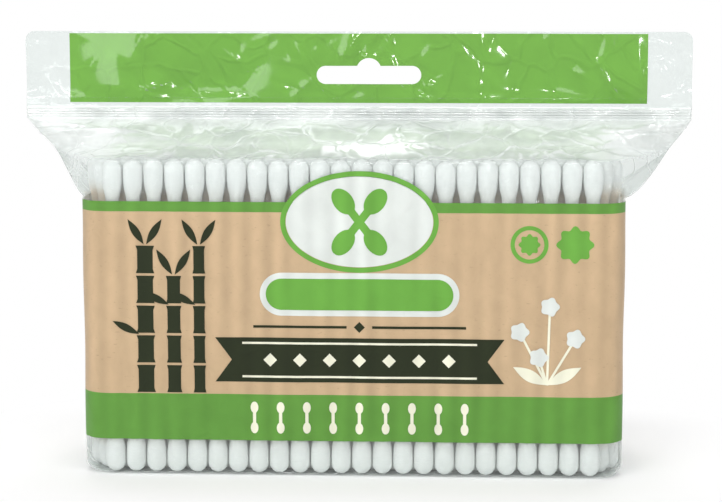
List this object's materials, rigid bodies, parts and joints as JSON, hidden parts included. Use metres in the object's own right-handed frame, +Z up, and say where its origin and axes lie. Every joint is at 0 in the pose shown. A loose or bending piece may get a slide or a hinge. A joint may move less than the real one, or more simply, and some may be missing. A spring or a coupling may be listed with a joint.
{
  "type": "bag of cotton swabs",
  "caption": "Clear press-to-close pouch packed with upright two-ended cotton swabs on bamboo sticks, with a printed header, a hang slot and a printed label.",
  "frame": {"origin": "on the table under the middle of the pouch", "axes": "+X across the pouch, +Y from the printed front to the back, +Z up"},
  "size_m": [0.162, 0.0511, 0.1042],
  "materials": {
    "film": "clear glossy polypropylene film",
    "zip_strip": "translucent extruded polyethylene",
    "header_green": "glossy printed ink",
    "kraft_brown": "glossy printed ink",
    "band_green": "glossy printed ink",
    "ink_white": "glossy printed ink",
    "leaf_green": "glossy printed ink",
    "ink_dark": "glossy printed ink",
    "ink_cream": "glossy printed ink",
    "bamboo": "plain bamboo",
    "cotton": "wound cotton wool"
  },
  "bodies": {
    "root": {"bag_film": "film", "zip_groove_strip": "zip_strip", "zip_rib_strip": "zip_strip", "ink_header": "header_green", "ink_kraft_field": "kraft_brown", "ink_green_bands": "band_green", "ink_white": "ink_white", "ink_leaf_green": "leaf_green", "ink_dark_green": "ink_dark", "ink_cream": "ink_cream", "row_01_sticks": "bamboo", "row_01_cotton_buds": "cotton", "row_02_sticks": "bamboo", "row_02_cotton_buds": "cotton", "row_03_sticks": "bamboo", "row_03_cotton_buds": "cotton", "row_04_sticks": "bamboo", "row_04_cotton_buds": "cotton", "row_05_sticks": "bamboo", "row_05_cotton_buds": "cotton", "row_06_sticks": "bamboo", "row_06_cotton_buds": "cotton", "row_07_sticks": "bamboo", "row_07_cotton_buds": "cotton", "row_08_sticks": "bamboo", "row_08_cotton_buds": "cotton", "row_09_sticks": "bamboo", "row_09_cotton_buds": "cotton", "row_10_sticks": "bamboo", "row_10_cotton_buds": "cotton", "row_11_sticks": "bamboo", "row_11_cotton_buds": "cotton", "row_12_sticks": "bamboo", "row_12_cotton_buds": "cotton"}
  },
  "joints": []
}
